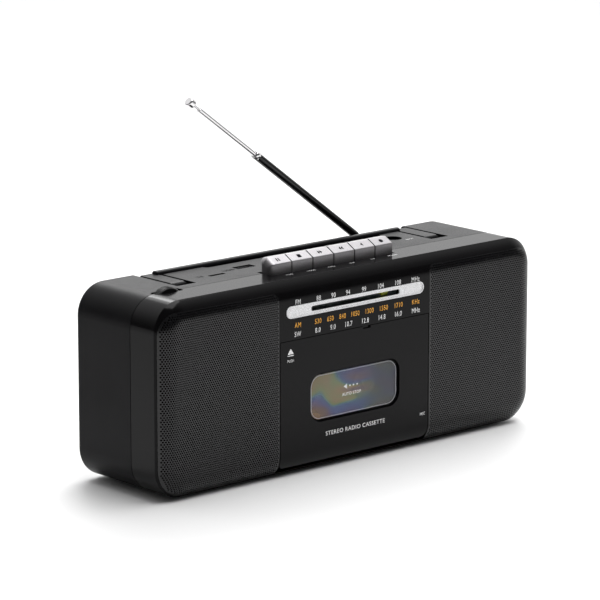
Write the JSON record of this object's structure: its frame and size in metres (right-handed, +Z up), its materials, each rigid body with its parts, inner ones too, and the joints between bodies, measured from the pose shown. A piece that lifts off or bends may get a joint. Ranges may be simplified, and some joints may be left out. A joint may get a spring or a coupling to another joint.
{
  "type": "portable radio cassette player",
  "caption": "Slim black portable radio cassette player with wide speaker grilles, front-loading cassette door, tuning dial, top piano keys, fold-down handle and telescopic aerial.",
  "frame": {"origin": "middle of the case's width and depth, on the surface its feet stand on", "axes": "+X to the listener's right along the width, +Y to the back, +Z up"},
  "size_m": [0.3, 0.078, 0.2184],
  "materials": {
    "gloss_black": "polished black ABS",
    "matt_black": "fine-textured black ABS",
    "grille_black": "perforated steel, satin black",
    "silver_paint": "silver-painted ABS",
    "bezel_silver": "satin metallised plastic",
    "clear_pane": "clear moulded styrene",
    "pointer_yellow": "fluorescent plastic",
    "steel": "plated steel",
    "chrome": "chromed brass",
    "black_tube": "black lacquered brass",
    "dark_plastic": "black acetal",
    "rubber": "soft rubber",
    "circuit_board": "phenolic board",
    "copper": "enamelled copper",
    "ferrite": "ferrite",
    "paper": "paper cone"
  },
  "bodies": {
    "case": {"front_cabinet": "gloss_black", "rear_cabinet": "matt_black", "left_grille": "grille_black", "right_grille": "grille_black", "dial_bezel": "bezel_silver", "dial_lens": "clear_pane", "pointer_rail": "steel", "door_pins": "steel", "key_shaft": "steel", "key_springs": "steel", "key_bracket": "steel", "deck_chassis": "steel", "flywheel_bracket": "steel", "motor": "steel", "drive_belt": "rubber", "tape_heads": "steel", "volume_control": "steel", "tuning_capacitor": "clear_pane", "band_switch": "steel", "usb_port": "steel", "card_slot": "steel", "media_board": "circuit_board", "main_board": "circuit_board", "ferrite_aerial": "ferrite", "battery_box": "matt_black", "battery_contacts": "steel", "transformer": "steel", "mains_inlet": "dark_plastic", "headphone_jack": "dark_plastic", "feet": "rubber", "case_screws": "steel", "handle_pins": "steel", "speaker_baskets": "steel", "speaker_cones": "paper", "speaker_magnets": "ferrite"},
    "door": {"cassette_door": "gloss_black", "door_window": "clear_pane", "cassette_holder": "steel"},
    "pointer": {"dial_pointer": "pointer_yellow"},
    "supply_reel": {"supply_spindle": "dark_plastic"},
    "takeup_reel": {"takeup_spindle": "dark_plastic"},
    "flywheel": {"capstan_flywheel": "steel"},
    "motor_shaft": {"motor_pulley": "copper"},
    "roller": {"pinch_roller": "rubber"},
    "volume": {"volume_wheel": "dark_plastic"},
    "tuning": {"tuning_wheel": "dark_plastic"},
    "band": {"band_switch_knob": "dark_plastic"},
    "battery_lid": {"battery_cover": "matt_black"},
    "carry_handle": {"handle": "matt_black"},
    "aerial_turntable": {"aerial_swivel": "chrome", "aerial_pin": "steel"},
    "aerial_tube": {"aerial_base": "black_tube"},
    "aerial_section": {"aerial_middle": "chrome"},
    "aerial_end": {"aerial_tip": "chrome"},
    "key_pause": {"key_pause": "silver_paint"},
    "key_stop": {"key_stop": "silver_paint"},
    "key_forward": {"key_forward": "silver_paint"},
    "key_rewind": {"key_rewind": "silver_paint"},
    "key_play": {"key_play": "silver_paint"},
    "key_record": {"key_record": "silver_paint"}
  },
  "joints": [
    {"name": "door_hinge", "type": "hinge", "parent": "case", "child": "door", "pos_m": [0, -0.0308, 0.009], "axis": [1, 0, 0], "range_deg": [0, 30]},
    {"name": "key_pause_press", "type": "hinge", "parent": "case", "child": "key_pause", "pos_m": [0, 0.0036, 0.1117], "axis": [1, 0, 0], "range_deg": [0, 6.8], "stiffness_Nm_per_rad": 0.3, "springref_deg": -3.44},
    {"name": "key_stop_press", "type": "hinge", "parent": "case", "child": "key_stop", "pos_m": [0, 0.0036, 0.1117], "axis": [1, 0, 0], "range_deg": [0, 6.8], "stiffness_Nm_per_rad": 0.3, "springref_deg": -3.44},
    {"name": "key_forward_press", "type": "hinge", "parent": "case", "child": "key_forward", "pos_m": [0, 0.0036, 0.1117], "axis": [1, 0, 0], "range_deg": [0, 6.8], "stiffness_Nm_per_rad": 0.3, "springref_deg": -3.44},
    {"name": "key_rewind_press", "type": "hinge", "parent": "case", "child": "key_rewind", "pos_m": [0, 0.0036, 0.1117], "axis": [1, 0, 0], "range_deg": [0, 6.8], "stiffness_Nm_per_rad": 0.3, "springref_deg": -3.44},
    {"name": "key_play_press", "type": "hinge", "parent": "case", "child": "key_play", "pos_m": [0, 0.0036, 0.1117], "axis": [1, 0, 0], "range_deg": [0, 6.8], "stiffness_Nm_per_rad": 0.3, "springref_deg": -3.44},
    {"name": "key_record_press", "type": "hinge", "parent": "case", "child": "key_record", "pos_m": [0, 0.0036, 0.1117], "axis": [1, 0, 0], "range_deg": [0, 6.8], "stiffness_Nm_per_rad": 0.3, "springref_deg": -3.44},
    {"name": "pointer_slide", "type": "slide", "parent": "case", "child": "pointer", "axis": [1, 0, 0], "range_m": [-0.0595, 0.0058]},
    {"name": "supply_reel_spin", "type": "hinge", "parent": "case", "child": "supply_reel", "pos_m": [-0.02125, -0.022, 0.0424], "axis": [0, 1, 0], "continuous": true},
    {"name": "takeup_reel_spin", "type": "hinge", "parent": "case", "child": "takeup_reel", "pos_m": [0.02125, -0.022, 0.0424], "axis": [0, 1, 0], "continuous": true},
    {"name": "flywheel_spin", "type": "hinge", "parent": "case", "child": "flywheel", "pos_m": [0.018, -0.013, 0.0702], "axis": [0, 1, 0], "continuous": true},
    {"name": "motor_shaft_spin", "type": "hinge", "parent": "case", "child": "motor_shaft", "pos_m": [-0.028, -0.013, 0.0755], "axis": [0, 1, 0], "continuous": true},
    {"name": "pinch_roller_spin", "type": "hinge", "parent": "case", "child": "roller", "pos_m": [0.018, -0.028, 0.084], "axis": [0, 1, 0], "continuous": true},
    {"name": "volume_turn", "type": "hinge", "parent": "case", "child": "volume", "pos_m": [-0.1228, -0.0113, 0.1087], "axis": [0, 1, 0], "range_deg": [0, 280]},
    {"name": "tuning_turn", "type": "hinge", "parent": "case", "child": "tuning", "pos_m": [0.136, 0.001, 0.0615], "axis": [0, 1, 0], "range_deg": [-274.3, 25.8]},
    {"name": "band_turn", "type": "hinge", "parent": "case", "child": "band", "pos_m": [0.0784, 0.0135, 0.1115], "axis": [0, 0, 1], "range_deg": [-60, 60]},
    {"name": "battery_lid_hinge", "type": "hinge", "parent": "case", "child": "battery_lid", "pos_m": [0, 0.039, 0.0109], "axis": [-1, 0, 0], "range_deg": [0, 90]},
    {"name": "handle_fold", "type": "hinge", "parent": "case", "child": "carry_handle", "pos_m": [0, 0.0055, 0.1147], "axis": [1, 0, 0], "range_deg": [0, 95]},
    {"name": "aerial_swivel_turn", "type": "hinge", "parent": "case", "child": "aerial_turntable", "pos_m": [0.0698, 0.036, 0.1095], "axis": [0, 0, -1], "range_deg": [0, 180]},
    {"name": "aerial_tilt", "type": "hinge", "parent": "aerial_turntable", "child": "aerial_tube", "pos_m": [0.0698, 0.036, 0.1162], "axis": [0, 1, 0], "range_deg": [-36.4, 53.6]},
    {"name": "aerial_middle_slide", "type": "slide", "parent": "aerial_tube", "child": "aerial_section", "axis": [-0.8049, 0, 0.5934], "range_m": [-0.053, 0.036]},
    {"name": "aerial_tip_slide", "type": "slide", "parent": "aerial_section", "child": "aerial_end", "axis": [-0.8049, 0, 0.5934], "range_m": [-0.005, 0.074]}
  ],
  "couplings": [
    {"joint": "pointer_slide", "follows": "tuning_turn", "m_per_rad": 0.01241},
    {"joint": "flywheel_spin", "follows": "motor_shaft_spin", "ratio": 0.21313}
  ]
}
